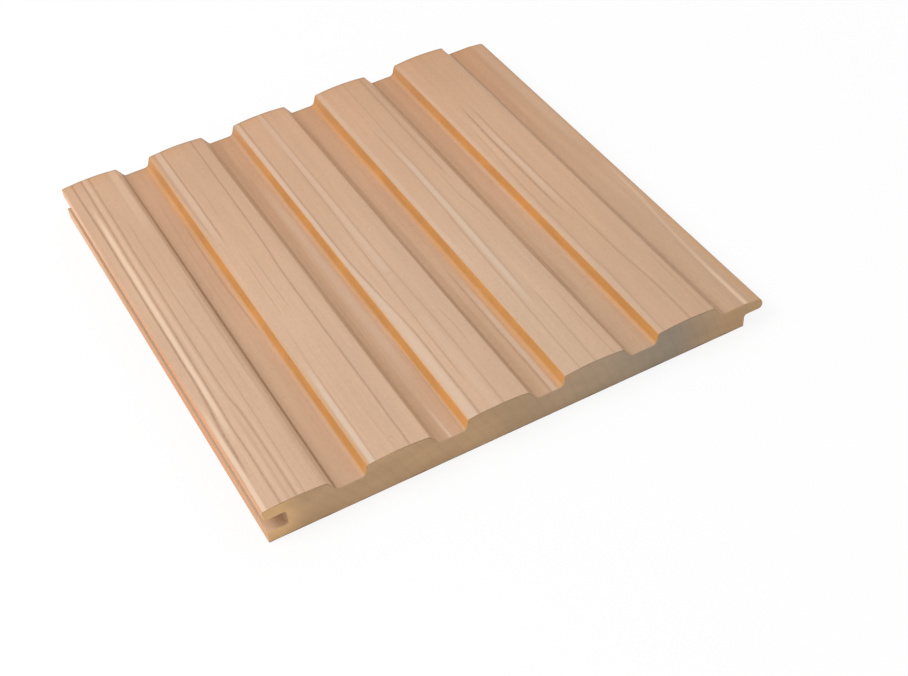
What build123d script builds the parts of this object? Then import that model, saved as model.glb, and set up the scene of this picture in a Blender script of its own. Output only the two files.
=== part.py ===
from build123d import *
import os

# A short length of solid softwood cladding board, ribbed on its face and flat on its back,
# with a slot along one edge and a tongue along the other. It is machined from one piece.
# Millimetres. X runs across the ribs from the slot edge to the tongue, Y runs along the ribs
# and Z stands up from the back. The origin is the middle of the back.

# Stock that the board is cut from
sample_length = 200.0
board_thickness = 15.0  # from the back to the top of a rib's crown

# Ribs on the face, and the floors between them
rib_count = 5
rib_pitch = 36.8
crest_width = 22.6  # between a rib's two arrises
crown_height = 0.7  # how far the middle of a rib stands above its arrises
groove_depth = 4.2  # from an arris down to the floor
steep_run = 1.5  # width of the flank that faces the slot edge
slack_run = 3.0  # width of the flank that faces the tongue
arris_radius = 0.8
steep_foot_radius = 1.8
slack_foot_radius = 1.0

# Tongue
tongue_length = 7.5
tongue_thickness = 5.1  # where it leaves the shoulder
tongue_fall = 0.8  # how far its upper face drops on the way to the tip
nose_upper_radius = 2.5
nose_lower_radius = 1.6
root_radius = 1.0
shoulder_relief = 0.4  # how far the shoulder leans back, so that the joint closes on the face

# Slot, which takes the tongue of the next board
slot_side_gap = 0.25
slot_end_gap = 0.3
slot_corner_radius = 0.8
lip_radius = 0.4

# Long edges on the slot side, at the face and at the back
edge_radius = 0.4

# Heights and places that follow
arris_height = board_thickness - crown_height
floor_height = arris_height - groove_depth
floor_width = rib_pitch - crest_width - steep_run - slack_run
tongue_underside = floor_height - tongue_thickness
slot_bottom = tongue_underside - slot_side_gap
slot_top = floor_height + slot_side_gap
slot_depth = tongue_length + slot_end_gap
last_foot = (rib_count - 1) * rib_pitch + crest_width + slack_run
# The floor at the joint is as wide as the floors between the ribs, so the ribs run on evenly.
shoulder = last_foot + floor_width
overall_width = shoulder + tongue_length
# The nose keeps a little flat between its two roundings, however thin the tongue is.
nose_height = tongue_thickness - tongue_fall
nose_upper = min(nose_upper_radius, 0.6 * nose_height)
nose_lower = min(nose_lower_radius, 0.38 * nose_height)


def rib_edges(number):
    """The outline over one rib, from its left foot to the far side of the floor on its right."""
    left = number * rib_pitch
    middle = left + crest_width / 2
    right = left + crest_width
    foot = right + slack_run
    # The first rib rises straight from the edge of the board and has no flank on its left.
    rise = [Line((left - steep_run, floor_height), (left, arris_height))] if number > 0 else []
    crest = ThreePointArc((left, arris_height), (middle, board_thickness), (right, arris_height))
    fall = Line((right, arris_height), (foot, floor_height))
    floor = Line((foot, floor_height), (foot + floor_width, floor_height))
    return [*rise, crest, fall, floor]


def tongue_edges():
    """The outline from the last floor round the tongue and down the shoulder to the back."""
    corners = [
        (shoulder, floor_height),
        (overall_width, floor_height - tongue_fall),
        (overall_width, tongue_underside),
        (shoulder, tongue_underside),
        (shoulder - shoulder_relief, 0),
    ]
    return Polyline(*corners).edges()


def back_and_slot_edges():
    """The outline along the back, up the edge face and in and out of the slot to the first rib."""
    corners = [
        (shoulder - shoulder_relief, 0),
        (0, 0),
        (0, slot_bottom),
        (slot_depth, slot_bottom),
        (slot_depth, slot_top),
        (0, slot_top),
        (0, arris_height),
    ]
    return Polyline(*corners).edges()


def rounded(section, radius, places):
    """The section with its corners at these places rounded."""
    corners = [section.vertices().sort_by_distance(place)[0] for place in places]
    return fillet(corners, radius)


def board_section():
    """The moulded section, with its lower left corner at the sketch's origin."""
    outline = [edge for number in range(rib_count) for edge in rib_edges(number)]
    section = make_face([*outline, *tongue_edges(), *back_and_slot_edges()])

    crest_lefts = [number * rib_pitch for number in range(rib_count)]
    crest_rights = [left + crest_width for left in crest_lefts]
    arrises = [(x, arris_height) for x in [*crest_lefts[1:], *crest_rights]]
    rise_feet = [(left - steep_run, floor_height) for left in crest_lefts[1:]]
    fall_feet = [(right + slack_run, floor_height) for right in crest_rights]
    section = rounded(section, arris_radius, arrises)
    section = rounded(section, steep_foot_radius, rise_feet)
    section = rounded(section, slack_foot_radius, fall_feet)

    section = rounded(section, nose_upper, [(overall_width, floor_height - tongue_fall)])
    section = rounded(section, nose_lower, [(overall_width, tongue_underside)])
    section = rounded(section, root_radius, [(shoulder, tongue_underside)])
    section = rounded(section, slot_corner_radius, [(slot_depth, slot_bottom), (slot_depth, slot_top)])
    section = rounded(section, lip_radius, [(0, slot_bottom), (0, slot_top)])
    return rounded(section, edge_radius, [(0, 0), (0, arris_height)])


def cladding_board():
    """The section run out to the sample's length, half each way from the middle."""
    profile = Plane.XZ * Pos(-overall_width / 2, 0) * board_section()
    board = extrude(Pos(0, sample_length / 2, 0) * profile, amount=sample_length)
    board.label = "cladding_board"
    return board


os.makedirs("parts", exist_ok=True)
export_step(cladding_board(), "parts/cladding_board.step")
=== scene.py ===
import math

import bpy
from mathutils import Matrix, Vector


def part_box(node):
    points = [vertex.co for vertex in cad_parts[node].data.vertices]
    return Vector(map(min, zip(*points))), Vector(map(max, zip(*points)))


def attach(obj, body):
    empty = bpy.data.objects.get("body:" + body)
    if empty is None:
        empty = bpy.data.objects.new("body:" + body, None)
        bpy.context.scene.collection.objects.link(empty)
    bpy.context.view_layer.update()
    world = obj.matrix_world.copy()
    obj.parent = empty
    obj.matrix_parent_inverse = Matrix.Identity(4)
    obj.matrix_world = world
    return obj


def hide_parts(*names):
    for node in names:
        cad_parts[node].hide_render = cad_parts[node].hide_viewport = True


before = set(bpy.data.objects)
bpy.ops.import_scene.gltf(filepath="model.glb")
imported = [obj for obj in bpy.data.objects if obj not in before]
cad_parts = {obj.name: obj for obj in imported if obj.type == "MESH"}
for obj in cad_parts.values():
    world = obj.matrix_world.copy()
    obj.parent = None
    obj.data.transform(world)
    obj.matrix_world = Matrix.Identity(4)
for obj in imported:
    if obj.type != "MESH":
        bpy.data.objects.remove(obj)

# A short length of planed softwood cladding board. Five crowned ribs run along its face, with flat
# floors between them. One edge has a slot and the other the tongue that such a slot takes.
# X runs across the ribs from the slot edge to the tongue, Y along the ribs and Z up from the back.

bl_info = {
    "name": "Ribbed cladding board",
    "version": (1, 0, 0),
    "blender": (4, 5, 0),
    "location": "3D View > Sidebar > Board",
    "description": "Makes a short length of ribbed softwood cladding board and a plain stage for it",
    "category": "Object",
}

NODE = "cladding_board"
BODY = "root"
PIECE = "ribbed_board"
MM = 0.001

BOARD_LOW, BOARD_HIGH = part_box(NODE)
BOARD_SIZE = BOARD_HIGH - BOARD_LOW

# The growth lines that the cutter laid open, and a few painted shade lines in the creases at the feet of
# the slack flanks. Each line has the number of its rib, its darkness, and then its course as (along,
# across, width): along the board from the middle, across from the rib's left arris. All lengths are
# millimetres. A place past 94 is the board's end.
GROWTH_AND_SHADE_LINES = (
    (0, 0.86, (
        (100, 4.0, 1.0), (60, 4.2, 1.0), (20, 4.1, 0.9), (-30, 4.0, 1.0), (-45, 3.7, 1.2), (-60, 3.0, 1.4),
        (-88, 2.6, 1.5),
    )),
    (0, 0.68, (
        (100, 8.2, 1.2), (60, 7.7, 1.1), (20, 7.3, 1.0), (-20, 7.0, 1.1), (-60, 6.6, 1.0), (-80, 6.8, 1.2),
        (-100, 6.6, 1.1),
    )),
    (0, 0.58, ((100, 11.3, 1.0), (30, 10.7, 1.1), (-40, 10.7, 1.0), (-60, 12.0, 1.3), (-100, 12.4, 1.1))),
    (0, 0.30, ((-50, 9.6, 1.0), (-70, 9.8, 1.4), (-100, 9.9, 1.6))),
    (0, 0.38, ((70, 15.1, 0.9), (20, 14.5, 0.8), (-10, 15.0, 0.8), (-25, 15.4, 0.9), (-100, 15.0, 0.9))),
    (0, 0.18, ((35, 18.3, 0.7), (-55, 18.4, 0.6))),
    (0, 0.40, ((25, 21.1, 0.7), (-45, 21.1, 0.7))),
    # Painted shade line low on the slack flank, by its foot
    (0, 1.00, ((100, 24.7, 0.7), (40, 24.9, 1.0), (0, 24.8, 1.7), (-40, 24.9, 1.6), (-100, 25.3, 1.2))),
    (0, 0.50, ((60, 34.1, 1.0), (25, 33.4, 0.9), (0, 33.8, 0.8), (-25, 34.6, 0.7))),
    (0, 0.22, ((80, 30.6, 1.0), (30, 29.8, 1.2), (-10, 29.2, 1.0))),
    (0, 0.70, ((-65, 0.1, 0.5), (-100, 0.1, 0.5))),
    (1, 0.72, ((100, 4.9, 0.7), (60, 5.1, 0.9), (25, 4.8, 0.7))),
    (1, 0.40, ((100, 1.8, 1.4), (60, 1.6, 1.2), (30, 2.0, 0.8))),
    (1, 0.20, ((75, 9.7, 0.8), (40, 8.7, 0.8))),
    (1, 0.40, ((26, 7.2, 0.6), (5, 6.6, 0.7), (-25, 6.0, 0.6))),
    (1, 0.38, ((-22, 4.7, 0.7), (-45, 3.9, 0.6), (-70, 3.6, 0.8), (-100, 3.2, 0.7))),
    (1, 0.46, ((25, 10.6, 0.6), (0, 10.1, 0.7), (-25, 10.4, 0.6))),
    (1, 0.68, (
        (100, 18.1, 0.9), (60, 17.5, 0.9), (20, 16.8, 0.9), (0, 16.0, 1.0), (-60, 15.8, 1.0),
        (-100, 15.5, 1.0),
    )),
    (1, 0.20, ((-65, 10.0, 0.8), (-85, 10.4, 0.8), (-100, 11.6, 0.8))),
    (1, 0.28, ((80, 30.2, 1.0), (40, 29.4, 1.1), (0, 28.9, 0.8), (-75, 28.4, 1.0), (-100, 29.2, 0.8))),
    (1, 0.48, ((-40, 34.9, 0.8), (-100, 34.6, 0.9))),
    (2, 0.58, (
        (100, 2.7, 0.9), (20, 2.1, 0.9), (-10, 2.3, 0.9), (-48, 4.4, 0.8), (-60, 4.7, 1.0), (-100, 4.3, 1.4),
    )),
    (2, 0.47, ((75, 9.9, 0.8), (20, 9.3, 0.7), (0, 8.6, 0.8), (-40, 8.1, 0.8), (-90, 7.7, 0.9))),
    (2, 0.38, ((100, 12.6, 0.8), (0, 12.8, 0.8), (-30, 13.1, 0.7), (-60, 13.7, 0.9), (-100, 13.3, 0.9))),
    (2, 0.32, ((-40, 16.3, 0.7), (-50, 17.4, 0.8), (-58, 17.9, 0.8), (-75, 17.3, 0.8))),
    (2, 0.55, ((-18, 31.2, 0.8), (-100, 31.2, 1.0))),
    # Painted shade line in the crease at the foot of the slack flank
    (2, 0.40, ((92, 26.1, 1.0), (40, 26.2, 1.0), (5, 26.2, 0.8))),
    (3, 0.46, (
        (70, 8.1, 0.6), (30, 8.7, 0.6), (0, 8.3, 0.7), (-22, 7.5, 0.9), (-80, 6.1, 0.9), (-100, 5.8, 0.8),
    )),
    (3, 0.34, ((95, 12.7, 0.9), (40, 11.9, 0.8), (0, 11.5, 0.7), (-40, 10.7, 0.7), (-65, 9.6, 0.8))),
    (3, 0.47, ((-52, 12.8, 0.6), (-70, 12.6, 0.8), (-100, 11.5, 0.8))),
    (3, 0.48, ((100, 20.4, 1.5), (50, 19.6, 1.5), (12, 19.6, 1.1))),
    (3, 0.36, ((25, 17.2, 0.7), (5, 17.4, 0.7), (-8, 18.8, 0.7), (-18, 19.4, 0.7))),
    (3, 0.38, ((-55, 19.4, 0.8), (-75, 19.0, 0.8), (-100, 19.4, 0.8))),
    # Painted shade line in the crease at the foot of the slack flank
    (3, 0.72, (
        (100, 26.4, 0.6), (40, 26.3, 0.9), (5, 26.2, 0.8), (-15, 26.2, 0.4), (-40, 26.2, 0.7),
        (-78, 26.2, 0.6),
    )),
    (4, 0.34, (
        (48, 4.8, 0.8), (20, 4.1, 0.9), (0, 2.9, 0.8), (-50, 2.7, 0.8), (-65, 3.0, 1.0), (-100, 1.7, 0.9),
    )),
    (4, 0.76, ((62, 8.5, 0.8), (40, 7.8, 1.0), (0, 7.4, 1.0), (-28, 7.6, 0.8))),
    (4, 0.56, (
        (60, 11.7, 0.8), (20, 11.0, 0.8), (-50, 11.7, 0.9), (-65, 12.4, 1.0), (-85, 13.0, 1.4),
        (-100, 12.3, 1.0),
    )),
    (4, 0.36, ((-55, 20.6, 0.8), (-100, 19.8, 0.9))),
    # Painted shade line in the crease at the foot of the slack flank
    (4, 0.57, ((100, 26.4, 0.9), (0, 26.3, 0.8), (-100, 26.4, 0.9))),
    (4, 0.16, ((-45, 34.9, 0.8), (-100, 34.6, 0.9))),
)

# Pale streaks between the lines, given in the same way with their paleness for their darkness, and painted
# highlights: along the rib arrises, high on the slack flanks, and where the tongue begins to fall. A place
# may have a fourth value, its share of that paleness, and so it may in the bands below.
PALE_STREAKS_AND_HIGHLIGHTS = (
    (0, 1.00, (
        (90, 5.8, 1.4), (70, 5.8, 1.7), (20, 5.5, 2.0), (-20, 5.3, 1.8), (-50, 5.1, 1.8), (-75, 4.7, 1.8),
    )),
    (0, 0.32, ((100, 9.4, 1.6), (60, 9.1, 1.6), (20, 8.8, 1.6), (-30, 8.8, 1.6), (-65, 8.5, 1.2))),
    # Painted highlight along the left arris toward the near end
    (0, 1.00, ((-35, 1.4, 1.0), (-60, 1.2, 1.8), (-100, 1.2, 1.8))),
    (0, 0.30, ((100, 20.6, 3.2), (70, 20.4, 3.4), (45, 20.0, 2.6))),
    # Painted light high on the slack flank, which lightens it toward the arris
    (0, 0.46, ((100, 23.2, 1.2), (0, 23.4, 1.6), (-100, 23.6, 1.8))),
    (0, 0.16, ((-45, 8.2, 1.2), (-100, 8.2, 1.6))),
    (0, 0.16, ((-20, 13.0, 1.2), (-100, 13.6, 1.4))),
    # These two: painted highlight along the left arris
    (1, 0.30, ((100, 3.4, 2.4), (60, 3.5, 2.6), (20, 3.4, 2.0))),
    (1, 0.60, ((-35, 2.4, 1.0), (-65, 2.1, 2.2), (-100, 2.0, 2.4))),
    # Painted light high on the slack flank, which lightens it toward the arris
    (1, 0.52, ((45, 23.1, 1.6), (0, 23.1, 1.6), (-30, 23.0, 1.2))),
    (1, 0.24, ((70, 32.0, 3.0), (0, 32.0, 3.6), (-80, 31.8, 3.8))),
    (1, 0.55, ((-78, 29.6, 0.8), (-100, 30.4, 1.0))),
    # Painted highlight along the left arris
    (2, 0.40, ((100, 1.2, 2.0), (0, 1.0, 1.8), (-20, 1.3, 2.4), (-45, 2.1, 3.8), (-100, 2.0, 3.8))),
    (2, 0.26, ((100, 11.2, 1.6), (40, 11.2, 2.4), (0, 11.0, 2.8), (-45, 10.8, 2.4))),
    (2, 0.14, ((-20, 10.9, 3.2), (-100, 10.6, 3.4))),
    (2, 0.40, ((-25, 32.6, 1.4), (-50, 32.6, 2.0), (-100, 32.6, 2.2))),
    # Painted highlight along the left arris
    (3, 0.25, ((100, 1.2, 2.0), (20, 1.1, 1.9), (-45, 1.0, 1.7))),
    (3, 0.45, ((62, 10.2, 1.6), (30, 10.2, 2.2), (0, 10.0, 2.4), (-30, 9.3, 2.4), (-75, 8.2, 2.4))),
    (3, 0.80, (
        (100, 24.2, 3.0), (60, 24.2, 3.0, 0.75), (42, 24.2, 2.6, 0.4), (28, 24.2, 2.4, 0.05),
        (4, 24.2, 2.4, 0.05), (-16, 24.2, 2.6, 0.35), (-34, 24.2, 2.4, 0.1), (-60, 24.2, 2.4, 0.0),
    )),
    # Painted highlight along the left arris
    (4, 0.17, ((100, 0.9, 1.0), (40, 0.8, 1.4), (0, 0.9, 1.8), (-60, 1.1, 2.2), (-100, 1.0, 1.8))),
    (4, 1.00, ((100, 24.4, 3.4), (60, 24.3, 3.2), (10, 24.2, 2.4))),
    (4, 0.36, ((48, 9.4, 2.0), (20, 9.4, 2.4), (-30, 9.5, 2.2))),
    (4, 0.12, ((50, 6.2, 1.6), (10, 5.6, 2.0))),
    # Painted highlight on the kink where the tongue begins to fall
    (4, 1.00, (
        (5, 39.8, 1.4, 0.4), (-25, 39.0, 1.6, 0.35), (-50, 37.0, 1.5, 0.3), (-72, 36.1, 1.6, 0.5),
        (-86, 35.8, 1.9, 0.75), (-100, 35.6, 2.1, 1.0),
    )),
    (4, 0.22, ((100, 38.8, 6.0), (40, 38.6, 6.0), (0, 38.0, 4.0))),
)

# Broad soft bands of painted shade on the slack flanks and on the floors beside them, where the ribs keep the
# lamp's light off the wood
SHADE_BANDS = (
    (0, 0.40, ((75, 24.7, 1.4), (20, 24.6, 1.3), (-30, 24.6, 1.2), (-100, 24.7, 1.2))),
    (0, 0.38, ((30, 21.8, 1.4), (0, 21.8, 2.0), (-100, 22.0, 2.2))),
    (1, 0.40, ((75, 25.2, 1.2), (50, 25.6, 1.2), (20, 25.3, 0.8, 0.3), (0, 24.9, 1.6), (-15, 24.6, 1.4))),
    (1, 0.30, ((-10, 24.6, 1.6), (-60, 24.2, 1.8), (-100, 24.6, 2.2))),
    (1, 0.50, ((100, 28.2, 3.8), (40, 27.8, 3.4), (0, 27.5, 3.0), (-60, 27.0, 2.8), (-100, 27.4, 3.2))),
    (2, 0.42, ((0, 24.4, 2.4), (-40, 24.4, 3.0), (-100, 24.4, 3.2))),
    (2, 0.36, ((30, 27.6, 2.0), (-100, 27.8, 2.8))),
    (3, 0.18, ((-20, 24.2, 2.4), (-60, 24.3, 3.2), (-100, 24.4, 3.4))),
    (3, 0.40, ((100, 28.2, 3.0), (0, 28.2, 3.0), (-80, 27.8, 2.2))),
    (4, 0.82, ((20, 24.2, 2.4), (-40, 24.2, 3.0), (-100, 24.0, 3.4))),
    (4, 0.42, (
        (100, 29.0, 4.4, 0.4), (60, 28.8, 4.2, 0.85), (40, 28.7, 4.0), (15, 28.4, 3.4), (0, 28.2, 2.4),
    )),
)

# Orange painted bounce light beside the steep flanks, and orange painted light along the tongue's rounded
# nose
WARM_BANDS = (
    (1, 0.80, (
        (100, -0.8, 4.6), (60, -1.3, 3.8), (35, -1.0, 3.0), (-20, -0.9, 2.8), (-50, -0.8, 3.0, 0.8),
        (-72, -0.5, 3.2, 0.8), (-100, -0.3, 3.4),
    )),
    (2, 0.80, (
        (100, -0.9, 1.8, 0.1), (66, -0.9, 1.9, 0.6), (40, -0.9, 2.0), (-20, -1.1, 3.2), (-45, -0.8, 2.4),
        (-100, -0.7, 2.4),
    )),
    (3, 0.95, (
        (100, -1.4, 3.4, 0.8), (60, -1.3, 2.8, 0.95), (20, -1.0, 2.2), (-10, -1.3, 3.0, 0.9),
        (-60, -1.5, 3.6, 0.8), (-100, -1.3, 3.4, 0.75),
    )),
    (4, 0.72, (
        (100, -1.0, 2.2, 0.4), (60, -0.9, 2.0, 0.9), (20, -0.8, 1.8), (-40, -0.9, 2.2, 0.8),
        (-70, -1.2, 3.2, 0.8), (-100, -1.2, 3.2, 0.9),
    )),
    (4, 0.45, ((100, 41.6, 3.0, 0.6), (0, 41.4, 3.4, 0.65), (-60, 41.0, 4.2, 0.9), (-100, 40.8, 4.8))),
)

RUN_OFF = 94  # a line that comes this far runs off the board's end
LINE_FADE = 16  # the length over which a line dies away
BAND_FADE = 32  # the same for the streaks and bands

# What is made of each table: the attribute that it fills, how many half-widths a line spreads to its left
# and to its right, the share of that reach with full strength, and how long its ends take to die away
DRAWN = {
    "Growth Lines": (GROWTH_AND_SHADE_LINES, "latewood", 1.5, 1.2, 0.0, LINE_FADE),
    "Pale Streaks": (PALE_STREAKS_AND_HIGHLIGHTS, "pale", 1.25, 1.25, 0.3, BAND_FADE),
    "Dark Bands": (SHADE_BANDS, "dark", 1.5, 1.3, 0.1, BAND_FADE),
    "Warm Bands": (WARM_BANDS, "warm", 1.3, 1.3, 0.2, BAND_FADE),
}

# Distance between points of the section on each stretch, in millimetres
POINT_SPACING = {
    "rise": 0.25, "crest": 0.26, "fall": 0.26, "floor": 0.3, "tongue": 0.3, "nose": 0.4,
    "under": 0.6, "back": 1.2, "edge": 0.5, "slot": 0.6,
}
CREST_STEPS = 24  # straight pieces that the curve of a crest is laid out in
FEWEST_STEPS = 3  # in a rounding, however small it is
# Stretches that the growth lines are drawn on
FACE = ("rise", "crest", "fall", "floor", "tongue", "nose")


def linear(hex_colour):
    """An sRGB hex colour as linear red, green and blue, with alpha 1."""
    parts = [int(hex_colour[i:i + 2], 16) / 255 for i in (1, 3, 5)]
    return (*[c / 12.92 if c <= 0.04045 else ((c + 0.055) / 1.055) ** 2.4 for c in parts], 1.0)


def size(name, description, millimetres):
    """A length property whose default is given in millimetres."""
    return bpy.props.FloatProperty(
        name=name, description=description, default=millimetres * MM, min=0, unit="LENGTH", precision=4
    )


def colour(name, description, hex_colour):
    """A colour property whose default is given as sRGB hex."""
    return bpy.props.FloatVectorProperty(
        name=name, description=description, default=linear(hex_colour), size=4, subtype="COLOR", min=0, max=1
    )


class BoardSizes(bpy.types.PropertyGroup):
    """Sizes of the moulded section and of the length cut from it."""

    length: size("Length", "Length of the sample", BOARD_SIZE.y / MM)
    width: size("Width", "From the slot edge to the tip of the tongue", BOARD_SIZE.x / MM)
    thickness: size("Thickness", "From the back to the top of a rib's crown", BOARD_SIZE.z / MM)
    ribs: bpy.props.IntProperty(name="Ribs", description="Number of ribs on the face", default=5, min=1)
    pitch: size("Rib Pitch", "From one rib's left arris to the next rib's", 36.8)
    crest: size("Crest Width", "Between a rib's two arrises", 22.6)
    crown: size("Crown", "How far the middle of a rib stands above its arrises", 0.7)
    groove: size("Groove Depth", "From an arris down to the floor", 4.2)
    steep_run: size("Steep Flank", "Width of the flank that faces the slot edge", 1.5)
    slack_run: size("Slack Flank", "Width of the flank that faces the tongue", 3.0)
    arris: size("Arris Radius", "Rounding of a rib's upper corners", 0.8)
    steep_foot: size("Steep Foot", "Rounding where the steep flank meets the floor", 1.8)
    slack_foot: size("Slack Foot", "Rounding where the slack flank meets the floor", 1.0)
    tongue: size("Tongue Thickness", "Thickness of the tongue where it leaves the shoulder", 5.1)
    tongue_fall: size("Tongue Fall", "How far the tongue's upper face drops to the tip", 0.8)
    nose_upper: size("Upper Nose", "Rounding of the tongue's upper corner", 2.5)
    nose_lower: size("Lower Nose", "Rounding of the tongue's lower corner", 1.6)
    root: size("Tongue Root", "Rounding between the tongue and the shoulder", 1.0)
    relief: size("Shoulder Relief", "How far the shoulder leans back", 0.4)
    slot_gap: size("Slot Gap", "Room above and below a tongue in the slot", 0.25)
    slot_depth: size("Slot Depth", "Depth of the slot", 7.8)
    slot_corner: size("Slot Corner", "Rounding at the bottom of the slot", 0.8)
    lip: size("Slot Lip", "Rounding of the slot's mouth", 0.4)
    edge: size("Edge Radius", "Rounding of the long edges on the slot side", 0.4)
    station: size("Station Spacing", "Distance between sections along the board", 2.5)
    end_chamfer: size("End Chamfer", "Wear on the edges of the sawn ends", 0.25)


class WoodFinish(bpy.types.PropertyGroup):
    """Colours and grain of the planed wood and of its sawn ends."""

    crest: colour("Crest", "Planed face of a rib", "#CFAB8E")
    floor: colour("Floor", "Planed floor between two ribs", "#C7A182")
    # Steep Flank and Amber are the orange of painted bounce light between the wood walls
    steep: colour("Steep Flank", "Burnished flank that faces the slot edge", "#C68D50")
    amber: colour("Amber", "Brightest parts of the burnished flank", "#D99A54")
    slack: colour("Slack Flank", "Flank that faces the tongue", "#CDAA89")
    latewood: colour("Latewood", "Darkest part of a growth line", "#8E6B50")
    # Earlywood and Cream also colour the painted highlights and painted light among the pale streaks
    earlywood: colour("Earlywood", "Pale streaks on the face of the later ribs", "#E2D0BE")
    cream: colour("Cream", "Pale streaks of the first rib, of the flanks and beside the tongue", "#EECFB2")
    shade: colour("Shade", "Broad darker bands on the slack flanks and beside them", "#9E7654")
    edge: colour("Edge", "Long edge beside the slot", "#D79F74")
    edge_far: colour("Far Edge", "The same edge toward the far end", "#FAD0B2")
    edge_orange: colour("Orange Edge", "The same edge between its middle and its near end", "#DE8C5C")
    # Ripe Tint: darkens and warms the wood toward the far end and on the last ribs
    warm_tint: colour("Ripe Tint", "Tint that warms the wood toward the far end", "#F6E9DC")
    dry: colour("Dry Tint", "Tint that cools the wood of the last ribs toward the near end", "#F9FDFF")
    bare: colour("Bare Wood", "Back, slot and shoulder", "#CDAB8C")
    end_warm: colour("Warm End Grain", "End grain beside the slot", "#D8AF7E")
    end_brown: colour("Brown End Grain", "End grain over most of the section", "#BC9A76")
    end_grey: colour("Grey End Grain", "Weathered patch of the end grain", "#9C8D7B")
    # Dirt also colours a painted contact shadow along the lower edge of the sawn ends
    dirt_and_shade: colour("Dirt", "Dirt in the torn fibres along the edges of a sawn end", "#6A4E38")
    relief: size("Grain Relief", "How deep the growth lines lie below the planed face", 0.12)
    wobble: size("Wobble", "How far a growth line wanders from its course", 0.12)
    fibre: size("Fibre Width", "Width of the streaks that show; real fibres are far finer", 0.45)
    fibre_length: size("Fibre Length", "Length of the streaks", 30)
    ring: size("Ring Width", "Distance between growth rings in the end grain", 4.2)


class StageSettings(bpy.types.PropertyGroup):
    """Lamp, sky, floor and camera."""

    floor: colour("Floor", "Colour of the floor", "#FBFBFB")
    key_share: bpy.props.FloatProperty(
        name="Key", description="Share of plain light that the large lamp gives", default=0.46, min=0
    )
    sky_share: bpy.props.FloatProperty(
        name="Sky", description="Share of plain light that comes from all round", default=0.69, min=0
    )
    clean_floor: bpy.props.FloatProperty(
        name="Clean Floor", description="How far the floor goes to white for the camera", default=0.85,
        min=0, max=1, subtype="FACTOR"
    )
    lens: bpy.props.FloatProperty(name="Lens", description="Focal length", default=65.04, unit="CAMERA")


def node(tree, kind, inputs=None, **settings):
    """Adds a node with its settings. Each input, by name or number, is a value, the socket that feeds it,
    or the node whose first output does."""
    made = tree.nodes.new(kind)
    for name, value in settings.items():
        setattr(made, name, value)
    for key, value in (inputs or {}).items():
        if isinstance(value, bpy.types.Node):
            value = value.outputs[0]
        if isinstance(value, bpy.types.NodeSocket):
            tree.links.new(value, made.inputs[key])
        else:
            made.inputs[key].default_value = value
    return made


def section_corners(s):
    """The section's corners, clockwise from the first rib's left arris, as (x, z, rounding, stretch).

    The stretch is what follows the corner. X starts at the slot edge.
    """
    arris_height = s.thickness - s.crown
    floor = arris_height - s.groove
    underside = floor - s.tongue
    slot_low = underside - s.slot_gap
    slot_high = floor + s.slot_gap
    last_foot = (s.ribs - 1) * s.pitch + s.crest + s.slack_run
    shoulder = last_foot + s.pitch - s.crest - s.steep_run - s.slack_run
    crown_radius = ((s.crest / 2) ** 2 + s.crown ** 2) / (2 * s.crown)

    corners = []
    for number in range(s.ribs):
        left = number * s.pitch
        if number > 0:
            corners.append((left - s.steep_run, floor, s.steep_foot, "rise"))
        corners.append((left, arris_height, s.arris if number > 0 else s.edge, "crest"))
        for step in range(1, CREST_STEPS):
            across = s.crest * (step / CREST_STEPS - 0.5)
            height = s.thickness - crown_radius + math.sqrt(crown_radius ** 2 - across ** 2)
            corners.append((left + s.crest / 2 + across, height, 0, "crest"))
        corners.append((left + s.crest, arris_height, s.arris, "fall"))
        corners.append((left + s.crest + s.slack_run, floor, s.slack_foot, "floor"))
    corners += [
        (shoulder, floor, 0, "tongue"),
        (s.width, floor - s.tongue_fall, s.nose_upper, "nose"),
        (s.width, underside, s.nose_lower, "under"),
        (shoulder, underside, s.root, "under"),
        (shoulder - s.relief, 0, 0, "back"),
        (0, 0, s.edge, "edge"),
        (0, slot_low, s.lip, "slot"),
        (s.slot_depth, slot_low, s.slot_corner, "slot"),
        (s.slot_depth, slot_high, s.slot_corner, "slot"),
        (0, slot_high, s.lip, "edge"),
    ]
    return corners


def section_points(s):
    """The outline as a list of (place, weights, stretch).

    The weights say which stretches a point is on, and the stretch is the one that leads on from it.
    """
    corners = section_corners(s)
    points = []
    for i, (x, z, radius, stretch) in enumerate(corners):
        before = corners[i - 1]
        after = corners[(i + 1) % len(corners)]
        corner = Vector((x, z))
        back = (Vector(before[:2]) - corner).normalized()
        ahead = (Vector(after[:2]) - corner).normalized()
        if radius == 0:
            points.append((corner, {stretch: 1.0}, stretch))
            continue
        half_angle = back.angle(ahead) / 2
        reach = radius / math.tan(half_angle)
        centre = corner + (back + ahead).normalized() * radius / math.sin(half_angle)
        start = corner + back * reach - centre
        end = corner + ahead * reach - centre
        turn = start.angle(end)
        steps = max(FEWEST_STEPS, math.ceil(radius * turn / (POINT_SPACING[stretch] * MM)))
        for step in range(steps + 1):
            t = step / steps
            spoke = (start * math.sin((1 - t) * turn) + end * math.sin(t * turn)) / math.sin(turn)
            weights = {before[3]: 1 - t}
            weights[stretch] = weights.get(stretch, 0) + t
            points.append((centre + spoke, weights, stretch))
    return points


def spaced_points(points):
    """The outline with more points put into its long runs, as far apart as POINT_SPACING says."""
    spaced = []
    for i, (place, weights, stretch) in enumerate(points):
        following = points[(i + 1) % len(points)][0]
        spaced.append((place, weights))
        steps = round((following - place).length / (POINT_SPACING[stretch] * MM))
        for step in range(1, steps):
            spaced.append((place.lerp(following, step / steps), {stretch: 1.0}))
    return spaced


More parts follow.
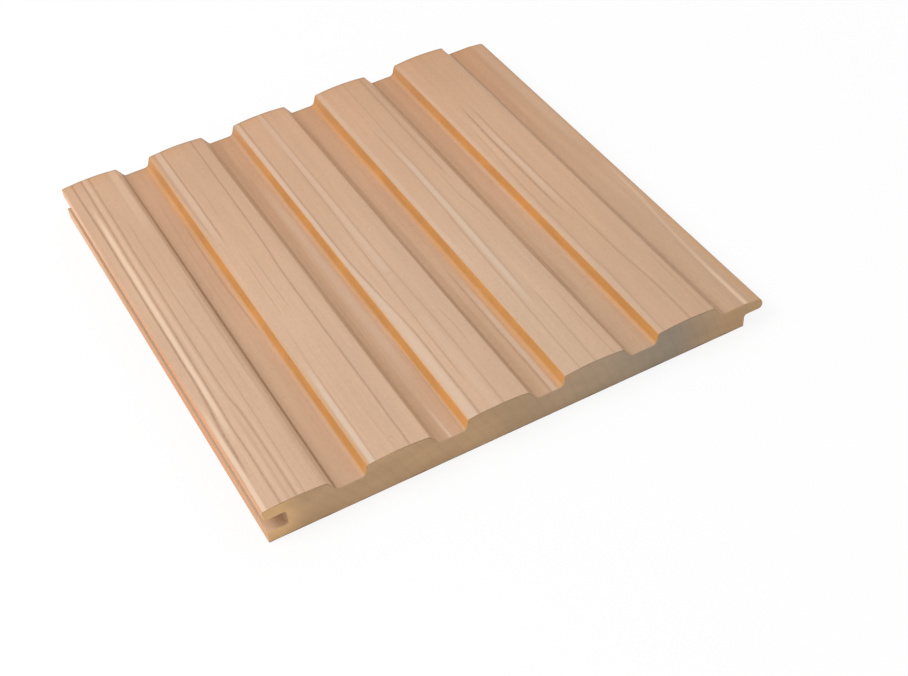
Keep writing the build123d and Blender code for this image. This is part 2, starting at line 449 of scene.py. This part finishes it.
def section_object(s):
    """A closed loop of edges in the shape of the section, with what the node tree reads at each point."""
    points = spaced_points(section_points(s))
    count = len(points)
    mesh = bpy.data.meshes.new("section")
    mesh.from_pydata([(p.x, p.y, 0) for p, _ in points], [(i, (i + 1) % count) for i in range(count)], [])
    outward = mesh.attributes.new("outward", "FLOAT_VECTOR", "POINT")
    for i in range(count):
        along = points[(i + 1) % count][0] - points[i - 1][0]
        outward.data[i].vector = Vector((-along.y, 0, along.x)).normalized()
    shares = {"rise": ("rise",), "fall": ("fall",), "edge": ("edge",), "face": FACE}
    shares["floor"] = ("floor", "tongue", "nose")
    for name, stretches in shares.items():
        share = mesh.attributes.new(name, "FLOAT", "POINT")
        share.data.foreach_set("value", [sum(w.get(k, 0) for k in stretches) for _, w in points])
    return bpy.data.objects.new("section", mesh)


def line_object(name, lines, fade, s):
    """The courses of some lines or bands, as runs of edges in the plane of the face."""
    places, edges, widths, tones = [], [], [], []
    for rib, tone, course in lines:
        for i, (along, across, width, *share) in enumerate(course):
            if abs(along) > RUN_OFF:
                # It dies away past the board's end
                along = math.copysign(s.length / 2 / MM + fade, along)
            if i > 0:
                edges.append((len(places) - 1, len(places)))
            places.append((rib * s.pitch + across * MM, along * MM, 0))
            widths.append(width * MM)
            tones.append(tone * share[0] if share else tone)
    mesh = bpy.data.meshes.new(name)
    mesh.from_pydata(places, edges, [])
    for key, values in (("width", widths), ("tone", tones)):
        mesh.attributes.new(key, "FLOAT", "POINT").data.foreach_set("value", values)
    made = bpy.data.objects.new(name, mesh)
    bpy.context.scene.collection.objects.link(made)
    return made


def line_strength(tree, lines, place, before, after, core, fade):
    """Adds nodes that give how strong the nearest line is at a place.

    Before and after are how many half-widths the line spreads to its left and to its right, core is
    the share of that reach with full strength, and fade is how far from its end it starts to die away.
    """
    spacing = 1.5 * MM  # between the points of a smoothed line
    longest_fade = 0.35  # as a share of a short line's length
    curve = node(tree, "GeometryNodeMeshToCurve", {"Mesh": lines})
    smooth = node(tree, "GeometryNodeCurveSplineType", {"Curve": curve}, spline_type="CATMULL_ROM")
    fine = node(tree, "GeometryNodeResampleCurve", {"Curve": smooth, "Length": spacing}, mode="LENGTH")
    run = node(tree, "GeometryNodeSplineParameter").outputs["Length"]
    total = node(tree, "GeometryNodeSplineLength").outputs["Length"]
    left = node(tree, "ShaderNodeMath", {0: total, 1: run}, operation="SUBTRACT")
    nearer = node(tree, "ShaderNodeMath", {0: left, 1: run}, operation="MINIMUM")
    part = node(tree, "ShaderNodeMath", {0: total, 1: longest_fade}, operation="MULTIPLY")
    span = node(tree, "ShaderNodeMath", {0: part, 1: fade * MM}, operation="MINIMUM")
    fading = node(
        tree, "ShaderNodeMapRange", {"Value": nearer, "From Max": span}, interpolation_type="SMOOTHSTEP"
    )
    tone = node(tree, "GeometryNodeInputNamedAttribute", {"Name": "tone"}, data_type="FLOAT")
    faded = node(tree, "ShaderNodeMath", {0: tone, 1: fading}, operation="MULTIPLY")
    drawn = node(
        tree, "GeometryNodeStoreNamedAttribute", {"Geometry": fine, "Name": "tone", "Value": faded},
        data_type="FLOAT", domain="POINT",
    )
    wire = node(tree, "GeometryNodeCurveToMesh", {"Curve": drawn})

    near = node(
        tree, "GeometryNodeProximity", {"Geometry": wire, "Sample Position": place}, target_element="EDGES"
    )
    index = node(
        tree, "GeometryNodeSampleNearest", {"Geometry": wire, "Sample Position": place}, domain="POINT"
    )
    sampled = {}
    for name in ("width", "tone"):
        field = node(tree, "GeometryNodeInputNamedAttribute", {"Name": name}, data_type="FLOAT")
        sampled[name] = node(
            tree, "GeometryNodeSampleIndex", {"Geometry": wire, "Value": field, "Index": index},
            data_type="FLOAT", domain="POINT",
        )
    here = node(tree, "ShaderNodeSeparateXYZ", {0: place}).outputs["X"]
    there = node(tree, "ShaderNodeSeparateXYZ", {0: near.outputs["Position"]}).outputs["X"]
    to_right = node(tree, "ShaderNodeMath", {0: here, 1: there}, operation="GREATER_THAN")
    spread = node(tree, "ShaderNodeMix", {0: to_right, 2: before / 2, 3: after / 2}, data_type="FLOAT")
    reach = node(tree, "ShaderNodeMath", {0: sampled["width"], 1: spread}, operation="MULTIPLY")
    share = node(tree, "ShaderNodeMath", {0: near.outputs["Distance"], 1: reach}, operation="DIVIDE")
    return node(
        tree, "ShaderNodeMapRange",
        {"Value": share, "From Min": 1.0, "From Max": core, "To Max": sampled["tone"]},
        interpolation_type="SMOOTHSTEP",
    )


def board_tree():
    """The node tree that runs the section along the board and works the growth lines into its face."""
    tree = bpy.data.node_groups.new("Moulded board", "GeometryNodeTree")
    tree.interface.new_socket("Geometry", in_out="OUTPUT", socket_type="NodeSocketGeometry")
    for name, kind in (
        ("Geometry", "NodeSocketGeometry"),
        ("Length", "NodeSocketFloat"),
        ("Station Spacing", "NodeSocketFloat"),
        ("End Chamfer", "NodeSocketFloat"),
        *((name, "NodeSocketObject") for name in DRAWN),
        ("Grain Relief", "NodeSocketFloat"),
        ("Wobble", "NodeSocketFloat"),
        ("Seed", "NodeSocketFloat"),
        ("Planed Wood", "NodeSocketMaterial"),
        ("End Grain", "NodeSocketMaterial"),
    ):
        tree.interface.new_socket(name, in_out="INPUT", socket_type=kind)
    given = node(tree, "NodeGroupInput").outputs

    # Values that the tree works with, by name. They start from its inputs and from what is at each point.
    at = node(tree, "ShaderNodeSeparateXYZ", {0: node(tree, "GeometryNodeInputPosition")}).outputs
    facing = node(tree, "ShaderNodeSeparateXYZ", {0: node(tree, "GeometryNodeInputNormal")}).outputs
    turns = (120, 55, 1)  # of the noise: in a metre across, in a metre along, and with the seed
    slow = node(tree, "ShaderNodeCombineXYZ", {"X": at["X"], "Y": at["Y"], "Z": given["Seed"]})
    stretched = node(tree, "ShaderNodeVectorMath", {0: slow, 1: turns}, operation="MULTIPLY")
    value = {socket.name: socket for socket in given}
    value["x"] = at["X"]
    value["y"] = at["Y"]
    value["noise"] = node(tree, "ShaderNodeTexNoise", {"Vector": stretched, "Scale": 1.0, "Detail": 3.0})
    value["latewood"] = node(tree, "GeometryNodeInputNamedAttribute", {"Name": "latewood"}, data_type="FLOAT")
    value["edge angle"] = node(tree, "GeometryNodeInputMeshEdgeAngle")
    value["facing along"] = facing["Y"]
    for name, first, operation, second in (
        ("half", "Length", "MULTIPLY", 0.5),
        ("minus half", "half", "MULTIPLY", -1.0),
        ("from middle", "y", "ABSOLUTE", 0.0),
        ("from end", "half", "SUBTRACT", "from middle"),
        # The station next to each end is less than one and a half spacings from it, but not at it. It
        # moves close to the end, for the chamfer.
        ("reach", "Station Spacing", "MULTIPLY", 1.5),
        ("is near", "from end", "LESS_THAN", "reach"),
        ("is inside", "from end", "GREATER_THAN", 0.001 * MM),
        ("is next", "is near", "MULTIPLY", "is inside"),
        ("side", "y", "SIGN", 0.0),
        ("inset", "half", "SUBTRACT", "End Chamfer"),
        ("next y", "inset", "MULTIPLY", "side"),
        # Lines and bands wander a little from their courses. The noise seldom goes further than a
        # quarter from its middle, so it is taken four times.
        ("centred", "noise", "SUBTRACT", 0.5),
        ("swing", "Wobble", "MULTIPLY", 4.0),
        ("shift", "centred", "MULTIPLY", "swing"),
        ("moved x", "x", "ADD", "shift"),
        # Growth lines and the painted shade lines at the rib feet lie below the planed face, and the edges of
        # the sawn ends are worn
        ("cut", "latewood", "MULTIPLY", "Grain Relief"),
        ("worn", "End Chamfer", "SUBTRACT", "from end"),
        ("worn in", "worn", "MAXIMUM", 0.0),
        ("depth", "cut", "ADD", "worn in"),
        ("outwards", "depth", "MULTIPLY", -1.0),
        # Edges are sharp where the sawn ends begin, and end grain is what faces along the board
        ("is sharp", "edge angle", "GREATER_THAN", math.radians(35)),
        ("endways", "facing along", "ABSOLUTE", 0.0),
        ("is end", "endways", "GREATER_THAN", 0.5),
    ):
        value[name] = node(
            tree, "ShaderNodeMath", {0: value.get(first, first), 1: value.get(second, second)},
            operation=operation,
        )

    # The section runs along a path from the far end to the near one. Half a turn of tilt stands it the
    # right way up.
    start, end = (node(tree, "ShaderNodeCombineXYZ", {"Y": value[name]}) for name in ("half", "minus half"))
    line = node(tree, "GeometryNodeCurvePrimitiveLine", {"Start": start, "End": end})
    upright = node(tree, "GeometryNodeSetCurveTilt", {"Curve": line, "Tilt": math.pi})
    path = node(
        tree, "GeometryNodeResampleCurve", {"Curve": upright, "Length": given["Station Spacing"]},
        mode="LENGTH",
    )
    next_place = node(tree, "ShaderNodeCombineXYZ", {"Y": value["next y"]})
    stations = node(
        tree, "GeometryNodeSetPosition",
        {"Geometry": path, "Selection": value["is next"], "Position": next_place},
    )
    profile = node(tree, "GeometryNodeMeshToCurve", {"Mesh": given["Geometry"]})
    run = node(
        tree, "GeometryNodeCurveToMesh", {"Curve": stations, "Profile Curve": profile, "Fill Caps": True}
    )

    # Growth lines with painted shade lines, pale streaks with painted highlights, painted shade bands, and
    # orange painted bounce light
    flat = node(tree, "ShaderNodeCombineXYZ", {"X": value["moved x"], "Y": at["Y"]})
    on_face = node(tree, "GeometryNodeInputNamedAttribute", {"Name": "face"}, data_type="FLOAT")
    for name, (_, attribute, before, after, core, fade) in DRAWN.items():
        info = node(tree, "GeometryNodeObjectInfo", {"Object": given[name]}, transform_space="ORIGINAL")
        found = line_strength(tree, info.outputs["Geometry"], flat, before, after, core, fade)
        kept = node(tree, "ShaderNodeMath", {0: found, 1: on_face}, operation="MULTIPLY")
        run = node(
            tree, "GeometryNodeStoreNamedAttribute", {"Geometry": run, "Name": attribute, "Value": kept},
            data_type="FLOAT", domain="POINT",
        )

    # Relief and wear, shading, and the two materials
    outward = node(tree, "GeometryNodeInputNamedAttribute", {"Name": "outward"}, data_type="FLOAT_VECTOR")
    step = node(tree, "ShaderNodeVectorMath", {0: outward, "Scale": value["outwards"]}, operation="SCALE")
    worked = node(tree, "GeometryNodeSetPosition", {"Geometry": run, "Offset": step})
    smooth = node(tree, "GeometryNodeSetShadeSmooth", {"Geometry": worked}, domain="FACE")
    creased = node(
        tree, "GeometryNodeSetShadeSmooth",
        {"Geometry": smooth, "Selection": value["is sharp"], "Shade Smooth": False}, domain="EDGE",
    )
    real = node(tree, "GeometryNodeRealizeInstances", {"Geometry": creased})
    turned = node(tree, "GeometryNodeFlipFaces", {"Mesh": real})
    planed = node(tree, "GeometryNodeSetMaterial", {"Geometry": turned, "Material": given["Planed Wood"]})
    ended = node(
        tree, "GeometryNodeSetMaterial",
        {"Geometry": planed, "Selection": value["is end"], "Material": given["End Grain"]},
    )
    node(tree, "NodeGroupOutput", {0: ended})
    return tree


def plain_mesh(built, name):
    """The mesh that an object's node tree makes, as a new object with no modifier."""
    graph = bpy.context.evaluated_depsgraph_get()
    mesh = bpy.data.meshes.new_from_object(
        built.evaluated_get(graph), preserve_all_data_layers=True, depsgraph=graph
    )
    mesh.name = name
    made = bpy.data.objects.new(name, mesh)
    bpy.context.scene.collection.objects.link(made)
    return made


def start_material(name, patterns):
    """A new material with its node tree and shader, the place on the object in millimetres, and noise.

    Each pattern is a noise, given as its size across, along and up in millimetres, and its detail.
    """
    material = bpy.data.materials.new(name)
    material.use_nodes = True
    tree = material.node_tree
    shader = tree.nodes["Principled BSDF"]
    where = node(tree, "ShaderNodeTexCoord").outputs["Object"]
    place = node(tree, "ShaderNodeVectorMath", {0: where, "Scale": 1 / MM}, operation="SCALE")
    noise = {}
    for pattern, (across, along, up, detail) in patterns.items():
        at = node(
            tree, "ShaderNodeVectorMath", {0: place, 1: (1 / across, 1 / along, 1 / up)}, operation="MULTIPLY"
        )
        noise[pattern] = node(tree, "ShaderNodeTexNoise", {"Vector": at, "Scale": 1.0, "Detail": detail})
    return material, tree, shader, place, noise


def planed_softwood(finish):
    """Planed softwood: close, straight grain in peach and tan, with darker growth lines and pale
    streaks between them, and painted shade and highlights by the flanks and arrises. The cutter leaves it
    smooth and matt. Orange painted bounce light lies on the steep flanks."""
    fibre = finish.fibre / MM
    material, tree, shader, place, noise = start_material("planed softwood", {
        "fibre": (fibre, finish.fibre_length / MM, fibre, 2.0),
        # Broad streaks along the grain, and slow changes of tone
        "streak": (3.5, 90, 3.5, 3.0),
        "cloud": (22, 60, 22, 2.0),
        # Short marks of torn fibre, which also make the growth lines ragged
        "torn mark": (0.7, 2, 0.7, 2.0),
        # Sparse scratches across the grain
        "scratch": (3, 0.8, 3, 1.0),
        # Where the orange painted bounce light on the steep flanks is brightest
        "amber": (6, 18, 6, 2.0),
    })
    at = node(tree, "ShaderNodeSeparateXYZ", {0: place}).outputs
    end = BOARD_HIGH.y / MM
    share = {
        name: node(tree, "ShaderNodeAttribute", attribute_name=name).outputs["Fac"]
        for name in ("latewood", "pale", "dark", "warm", "rise", "fall", "floor", "edge", "face")
    }

    # Each share goes from its first amount to its second between two places, in millimetres from the
    # board's middle, or between two values of a noise or of another share.
    for name, source, start, stop, first, second in (
        ("far", at["Y"], -20, 100, 0, 1),
        ("right", at["X"], -95, 95, 0.5, 1),
        ("last ribs", at["X"], 20, 60, 0, 0.5),
        ("near", at["Y"], 0, -60, 0, 1),
        ("right half", at["X"], -20, 20, 0, 1),
        # The steep flanks take an orange painted bounce light, weaker toward the far end and brightest at the
        # near end
        ("on steep", share["rise"], 0.6, 1, 0, 1),
        ("glow_along", at["Y"], 100, 40, 0.5, 1),
        ("amber", noise["amber"], 0.35, 0.75, 0, 1),
        ("near amber", at["Y"], -60, -100, 0, 0.5),
        # The long edge beside the slot
        ("far edge", at["Y"], 30, 90, 0, 0.45),
        ("orange begins", at["Y"], 15, -20, 0, 0.45),
        ("orange ends", at["Y"], -85, -50, 0, 1),
        # The last millimetres of the far end have yellowed, and dust darkens its torn fibres
        ("yellowed", at["Y"], end - 8, end, 0, 0.22),
        ("torn", at["Y"], end - 1.4, end - 0.3, 0, 0.4),
        # Pale streaks and growth lines
        ("past first rib", at["X"], -70, -60, 0, 1),
        ("before tongue", at["X"], 82, 76, 0, 1),
        ("ragged", noise["torn mark"], 0.3, 0.7, 0.45, 0.85),
        # Fibres, streaks and marks darken and lighten the wood by a few hundredths, and scratches by more
        ("fibre", noise["fibre"], 0.25, 0.75, 0.96, 1.04),
        ("streak", noise["streak"], 0.25, 0.75, 0.96, 1.04),
        ("cloud", noise["cloud"], 0.3, 0.7, 0.97, 1.03),
        ("torn mark", noise["torn mark"], 0.25, 0.75, 0.965, 1.035),
        ("scratch", noise["scratch"], 0.68, 0.8, 1, 0.86),
        ("roughness", noise["fibre"], 0, 1, 0.5, 0.68),
    ):
        share[name] = node(
            tree, "ShaderNodeMapRange",
            {"Value": source, "From Min": start, "From Max": stop, "To Min": first, "To Max": second},
        )
    # What two of them make together, or one and a number
    for name, first, operation, second in (
        # Warmer toward the far end and on the last ribs, cooler on the right half toward the near end
        ("far right", "far", "MULTIPLY", "right"),
        ("on rib", 1.0, "SUBTRACT", "floor"),
        ("on last ribs", "last ribs", "MULTIPLY", "on rib"),
        ("warm_tint", "far right", "MAXIMUM", "on last ribs"),
        ("dry", "near", "MULTIPLY", "right half"),
        ("bounce_glow", "on steep", "MULTIPLY", "glow_along"),
        ("glow", "amber", "MAXIMUM", "near amber"),
        ("orange", "orange begins", "MULTIPLY", "orange ends"),
        ("darker", "dark", "MULTIPLY", 0.55),
        ("warmer", "warm", "MULTIPLY", 0.75),
        ("paler", "pale", "MULTIPLY", 0.7),
        ("lined", "latewood", "MULTIPLY", "ragged"),
        # Pale streaks are whitest on the ribs and floors after the first rib
        ("between", "past first rib", "MULTIPLY", "before tongue"),
        ("off flank", 1.0, "SUBTRACT", "fall"),
        ("whiter", "between", "MULTIPLY", "off flank"),
        ("tone", "fibre", "MULTIPLY", "streak"),
        ("tone", "tone", "MULTIPLY", "cloud"),
        ("tone", "tone", "MULTIPLY", "torn mark"),
        ("tone", "tone", "MULTIPLY", "scratch"),
    ):
        share[name] = node(
            tree, "ShaderNodeMath", {0: share.get(first, first), 1: share.get(second, second)},
            operation=operation,
        )

    planed, bounce_glow, plain_edge, pale = (
        node(tree, "ShaderNodeMix", {0: share[name], 6: first, 7: second}, data_type="RGBA").outputs[2]
        for name, first, second in (
            ("floor", finish.crest, finish.floor),
            ("glow", finish.steep, finish.amber),
            ("far edge", finish.edge, finish.edge_far),
            ("whiter", finish.cream, finish.earlywood),
        )
    )
    edge = node(
        tree, "ShaderNodeMix", {0: share["orange"], 6: plain_edge, 7: finish.edge_orange}, data_type="RGBA"
    ).outputs[2]
    # Each of these lies over those before it
    colour_here = finish.bare
    for name, part, blend in (
        ("face", planed, "MIX"),
        ("fall", finish.slack, "MIX"),
        ("bounce_glow", bounce_glow, "MIX"),
        ("warm_tint", finish.warm_tint, "MULTIPLY"),
        ("dry", finish.dry, "MULTIPLY"),
        ("edge", edge, "MIX"),
        ("yellowed", finish.steep, "MIX"),
        # Painted shade on the slack flanks and the floors beside them, then orange painted bounce light
        ("darker", finish.shade, "MIX"),
        ("warmer", bounce_glow, "MIX"),
        ("torn", finish.dirt_and_shade, "MIX"),
    ):
        colour_here = node(
            tree, "ShaderNodeMix", {0: share[name], 6: colour_here, 7: part}, data_type="RGBA",
            blend_type=blend,
        ).outputs[2]
    toned = node(tree, "ShaderNodeVectorMath", {0: colour_here, "Scale": share["tone"]}, operation="SCALE")
    paler = node(tree, "ShaderNodeMix", {0: share["paler"], 6: toned, 7: pale}, data_type="RGBA").outputs[2]
    lined = node(tree, "ShaderNodeMix", {0: share["lined"], 6: paler, 7: finish.latewood}, data_type="RGBA")
    tree.links.new(lined.outputs[2], shader.inputs["Base Color"])

    tree.links.new(share["roughness"].outputs[0], shader.inputs["Roughness"])
    shader.inputs["IOR"].default_value = 1.5
    shader.inputs["Specular IOR Level"].default_value = 0.35
    bump = node(tree, "ShaderNodeBump", {"Height": noise["fibre"], "Strength": 0.35, "Distance": 0.05 * MM})
    tree.links.new(bump.outputs[0], shader.inputs["Normal"])
    return material


def sawn_end_grain(finish):
    """Sawn softwood end grain: darker than the face because the cut fibres drink in the light, with
    growth rings as faint arcs, and weathered grey between the middle of the board and the tongue."""
    material, tree, shader, place, noise = start_material("sawn end grain", {
        # How the growth rings bend
        "bend": (14, 14, 14, 2.0),
        # Open ends of fibres, drawn ten times as wide as they are, because the real ones would not show
        "speck": (0.4, 0.4, 0.4, 3.0),
        "cloud": (18, 18, 7, 3.0),
        # The same at every height, for the broken lines along the edges
        "broken": (9, 1, math.inf, 3.0),
    })
    at = node(tree, "ShaderNodeSeparateXYZ", {0: place}).outputs
    end = BOARD_HIGH.y / MM
    from_middle = node(tree, "ShaderNodeMath", {0: at["Y"]}, operation="ABSOLUTE")

    # Growth rings round the heart of the tree, which lay to the left and below the board
    heart = (-170, 0, -60)
    ring_bend = 3.0
    from_heart = node(tree, "ShaderNodeVectorMath", {0: place, 1: heart}, operation="SUBTRACT")
    flat = node(tree, "ShaderNodeVectorMath", {0: from_heart, 1: (1, 0, 1)}, operation="MULTIPLY")
    radius = node(tree, "ShaderNodeVectorMath", {0: flat}, operation="LENGTH").outputs["Value"]
    bent = node(tree, "ShaderNodeMath", {0: noise["bend"], 1: ring_bend, 2: radius}, operation="MULTIPLY_ADD")
    rings = node(tree, "ShaderNodeMath", {0: bent, 1: finish.ring / MM}, operation="DIVIDE")
    ring_part = node(tree, "ShaderNodeMath", {0: rings}, operation="FRACT")

    # Shares as in the planed wood, of which two set in softly
    share = {}
    for name, source, start, stop, first, second, ease in (
        ("late", ring_part, 0.55, 0.98, 0, 1, "SMOOTHSTEP"),
        ("brown", at["X"], -90, -80, 0, 1, "SMOOTHSTEP"),
        ("grey begins", at["X"], -20, 58, 0, 1, "LINEAR"),
        ("grey ends", at["X"], 80, 58, 0, 1, "LINEAR"),
        ("speck", noise["speck"], 0.25, 0.75, 0.93, 1.07, "LINEAR"),
        ("cloud", noise["cloud"], 0.3, 0.7, 0.93, 1.07, "LINEAR"),
        ("dark_edge_height", noise["broken"], 0.4, 0.6, 0.2, 1.1, "LINEAR"),
        ("worn edge", from_middle, end, end - 0.1, 0, 1, "LINEAR"),
        ("crest", at["Z"], 12, 13.5, 0, 1, "LINEAR"),
        ("broken", noise["broken"], 0.38, 0.58, 0.15, 0.5, "LINEAR"),
    ):
        share[name] = node(
            tree, "ShaderNodeMapRange",
            {"Value": source, "From Min": start, "From Max": stop, "To Min": first, "To Max": second},
            interpolation_type=ease,
        )
    # Dark splinters and dirt, with a painted contact shadow, darken the lower edge up to a height that
    # changes along it
    share["dirt_and_shade"] = node(
        tree, "ShaderNodeMapRange",
        {"Value": at["Z"], "From Min": share["dark_edge_height"], "From Max": 0.1, "To Max": 0.9},
    )
    share["ring"] = node(tree, "ShaderNodeMapRange", {"Value": share["late"], "To Min": 1.01, "To Max": 0.97})
    for name, first, second in (
        ("grey", "grey begins", "grey ends"),
        ("worn crest", "worn edge", "crest"),
        ("worn dark", "worn crest", "broken"),
        ("tone", "speck", "cloud"),
        ("tone", "tone", "ring"),
    ):
        share[name] = node(tree, "ShaderNodeMath", {0: share[first], 1: share[second]}, operation="MULTIPLY")

    # Warm beside the slot, then brown, with a greyer patch between the middle and the tongue
    colour_here = finish.end_warm
    for name, part in (("brown", finish.end_brown), ("grey", finish.end_grey)):
        colour_here = node(
            tree, "ShaderNodeMix", {0: share[name], 6: colour_here, 7: part}, data_type="RGBA"
        ).outputs[2]
    colour_here = node(
        tree, "ShaderNodeVectorMath", {0: colour_here, "Scale": share["tone"]}, operation="SCALE"
    ).outputs[0]
    for name in ("dirt_and_shade", "worn dark"):
        colour_here = node(
            tree, "ShaderNodeMix", {0: share[name], 6: colour_here, 7: finish.dirt_and_shade}, data_type="RGBA"
        ).outputs[2]
    tree.links.new(colour_here, shader.inputs["Base Color"])

    shader.inputs["Roughness"].default_value = 0.85
    shader.inputs["IOR"].default_value = 1.5
    shader.inputs["Specular IOR Level"].default_value = 0.2
    bump = node(tree, "ShaderNodeBump", {"Height": noise["speck"], "Strength": 0.4, "Distance": 0.08 * MM})
    tree.links.new(bump.outputs[0], shader.inputs["Normal"])
    return material


class OBJECT_OT_make_board(bpy.types.Operator):
    """Make the ribbed board with its growth lines"""

    bl_idname = "object.make_ribbed_board"
    bl_label = "Make Board"

    def execute(self, context):
        s = context.scene.board_sizes
        finish = context.scene.wood_finish
        section = section_object(s)
        context.scene.collection.objects.link(section)
        drawn = {name: line_object(name, lines, fade, s) for name, (lines, *_, fade) in DRAWN.items()}
        tree = board_tree()
        modifier = section.modifiers.new("board", "NODES")
        modifier.node_group = tree
        values = {
            "Length": s.length,
            "Station Spacing": s.station,
            "End Chamfer": s.end_chamfer,
            **drawn,
            "Grain Relief": finish.relief,
            "Wobble": finish.wobble,
            "Seed": 3.0,
            "Planed Wood": planed_softwood(finish),
            "End Grain": sawn_end_grain(finish),
        }
        for item in tree.interface.items_tree:
            if item.name in values and item.in_out == "INPUT":
                modifier[item.identifier] = values[item.name]
        board = plain_mesh(section, PIECE)
        for spent in (section, *drawn.values()):
            bpy.data.objects.remove(spent)
        if not board.data.polygons:
            raise RuntimeError("the board has no surface: the node tree gave nothing")
        board.data.transform(Matrix.Translation((BOARD_LOW.x, 0, BOARD_LOW.z)))
        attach(board, BODY)
        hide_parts(NODE)
        return {"FINISHED"}


def white_for_camera(tree, plain, amount):
    """Mixes a shader with white light, by that amount, where the camera, a reflection or glass sees it."""
    rays = node(tree, "ShaderNodeLightPath").outputs
    seen = 0.0
    for ray in ("Is Camera Ray", "Is Glossy Ray", "Is Transmission Ray"):
        seen = node(tree, "ShaderNodeMath", {0: seen, 1: rays[ray]}, operation="MAXIMUM")
    share = node(tree, "ShaderNodeMath", {0: seen, 1: amount}, operation="MULTIPLY")
    white = node(tree, "ShaderNodeEmission", {"Color": (1, 1, 1, 1), "Strength": 1.0})
    return node(tree, "ShaderNodeMixShader", {0: share, 1: plain, 2: white})


class OBJECT_OT_make_stage(bpy.types.Operator):
    """Make the floor, the lamp and the camera"""

    bl_idname = "object.make_board_stage"
    bl_label = "Make Stage"

    def execute(self, context):
        scene = context.scene
        stage = scene.board_stage

        # Matt white paper, so wide that its edge stays out of a low view, and just clear of the back
        reach = 40.0
        level = BOARD_LOW.z - 0.05 * MM
        mesh = bpy.data.meshes.new("floor")
        corners = [(x * reach, y * reach, level) for x, y in ((-1, -1), (1, -1), (1, 1), (-1, 1))]
        mesh.from_pydata(corners, [], [(0, 1, 2, 3)])
        floor = bpy.data.objects.new("floor", mesh)
        scene.collection.objects.link(floor)
        paper = bpy.data.materials.new("matt paper")
        mesh.materials.append(paper)
        sky = bpy.data.worlds.new("plain sky")
        scene.world = sky
        white = (1, 1, 1, 1)
        for made, kind, inputs, whitened, output in (
            (paper, "ShaderNodeBsdfDiffuse", {"Color": stage.floor}, stage.clean_floor, "Material"),
            (sky, "ShaderNodeBackground", {"Color": white, "Strength": stage.sky_share}, 1.0, "World"),
        ):
            made.use_nodes = True
            made.node_tree.nodes.clear()
            plain = node(made.node_tree, kind, inputs)
            shown = white_for_camera(made.node_tree, plain, whitened)
            node(made.node_tree, "ShaderNodeOutput" + output, {"Surface": shown})

        # One large soft lamp, up to the left and a little behind
        toward = Vector((-0.60, 0.12, 0.79)).normalized()
        distance = 1.5
        lamp = bpy.data.lights.new("soft lamp", "AREA")
        lamp.shape = "DISK"
        lamp.size = 0.9
        # At pi squared watts times its distance squared, a lamp lights a surface that faces it at the
        # colour that is written for it.
        lamp.energy = stage.key_share * math.pi ** 2 * distance ** 2
        lamp_object = bpy.data.objects.new("soft lamp", lamp)
        lamp_object.location = toward * distance
        lamp_object.rotation_mode = "QUATERNION"
        lamp_object.rotation_quaternion = toward.to_track_quat("Z", "Y")
        scene.collection.objects.link(lamp_object)

        # The camera stands where the photograph was taken from. Its angles are in degrees.
        heading = -23.64  # from straight along the board
        dip = 42.43  # below level
        roll = -6.95
        stand = (-0.1728, -0.4421, 0.3928)
        camera = bpy.data.cameras.new("camera")
        camera.sensor_width = 36
        camera.lens = stage.lens
        camera.clip_start = 0.01
        camera.clip_end = 100
        pose = Matrix.Translation(stand)
        for degrees, axis in ((heading, "Z"), (90 - dip, "X"), (roll, "Z")):
            pose = pose @ Matrix.Rotation(math.radians(degrees), 4, axis)
        camera_object = bpy.data.objects.new("camera", camera)
        camera_object.matrix_world = pose
        scene.collection.objects.link(camera_object)
        scene.camera = camera_object
        scene.view_settings.view_transform = "Standard"
        return {"FINISHED"}


class VIEW3D_PT_board(bpy.types.Panel):
    """The board's sizes, finish and stage"""

    bl_label = "Ribbed Board"
    bl_space_type = "VIEW_3D"
    bl_region_type = "UI"
    bl_category = "Board"

    def draw(self, context):
        for group in GROUPS:
            held = getattr(context.scene, group)
            box = self.layout.box()
            for name in held.__annotations__:
                box.prop(held, name)
        self.layout.operator(OBJECT_OT_make_board.bl_idname)
        self.layout.operator(OBJECT_OT_make_stage.bl_idname)


GROUPS = {"board_sizes": BoardSizes, "wood_finish": WoodFinish, "board_stage": StageSettings}
CLASSES = (*GROUPS.values(), OBJECT_OT_make_board, OBJECT_OT_make_stage, VIEW3D_PT_board)


def register():
    for made in CLASSES:
        bpy.utils.register_class(made)
    for name, group in GROUPS.items():
        setattr(bpy.types.Scene, name, bpy.props.PointerProperty(type=group))


def unregister():
    for name in GROUPS:
        delattr(bpy.types.Scene, name)
    for made in reversed(CLASSES):
        bpy.utils.unregister_class(made)


def main():
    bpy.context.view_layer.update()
    register()
    bpy.ops.object.make_ribbed_board()
    bpy.ops.object.make_board_stage()


if __name__ == "__main__":
    main()
